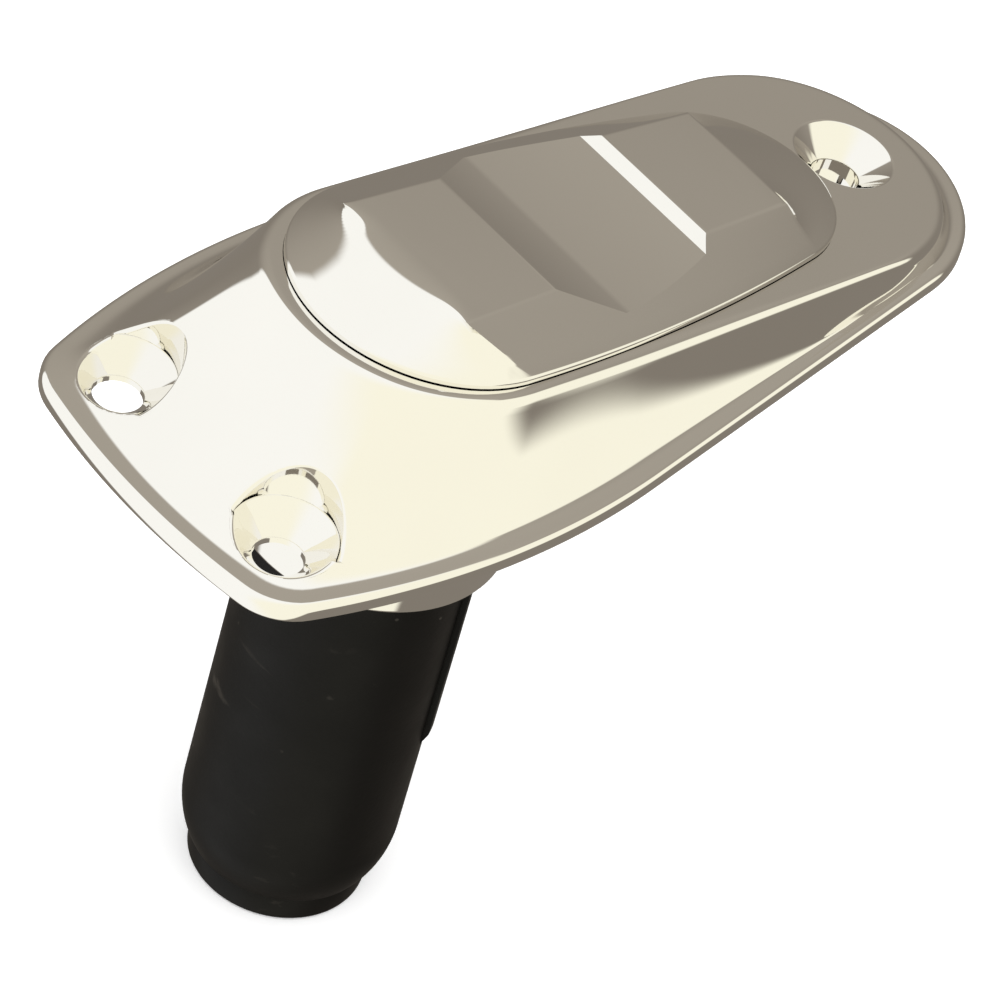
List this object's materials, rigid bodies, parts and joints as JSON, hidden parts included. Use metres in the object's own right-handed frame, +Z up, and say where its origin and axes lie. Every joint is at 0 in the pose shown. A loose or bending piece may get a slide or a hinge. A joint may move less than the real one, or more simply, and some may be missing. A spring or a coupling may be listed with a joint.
{
  "type": "deck socket with sliding cap",
  "caption": "Chrome deck fitting: a shield-shaped wedge plate with a sliding cap over a stepped black socket barrel.",
  "frame": {"origin": "on the collar axis, in the plane of the mounting face under the base plate", "axes": "+Z up, square to the mounting face; +X to the narrow rear end that the cap slides towards; +Y across the plate; the part is symmetric about the XZ plane"},
  "size_m": [0.1168, 0.053, 0.0959],
  "materials": {
    "plate_chrome": "polished chrome plate on a cast base",
    "cap_chrome": "polished chrome plate on a cast cap",
    "steel": "stainless sheet and screws",
    "black_plastic": "moulded black nylon with light scuffs",
    "carrier_plastic": "moulded phenolic insulator",
    "seal_rubber": "moulded rubber",
    "contact_brass": "turned brass"
  },
  "bodies": {
    "base": {"base_plate": "plate_chrome", "mouth_seal": "seal_rubber", "socket_barrel": "black_plastic", "barrel_top_gasket": "seal_rubber", "retaining_ring": "black_plastic", "barrel_o_ring": "seal_rubber", "contact_carrier": "carrier_plastic", "carrier_screws": "steel", "contact_pin_positive": "contact_brass", "contact_pin_negative": "contact_brass", "terminal_positive": "contact_brass", "terminal_negative": "contact_brass", "terminal_screws": "steel", "end_cap": "black_plastic", "end_cap_o_ring": "seal_rubber", "cable_gland": "seal_rubber"},
    "cap": {"sliding_cap": "cap_chrome", "slider_plate": "steel", "slider_screws": "steel", "friction_springs": "steel"}
  },
  "joints": [
    {"name": "cap_slide", "type": "slide", "parent": "base", "child": "cap", "axis": [0.9925, 0, -0.1219], "range_m": [0, 0.03]}
  ]
}
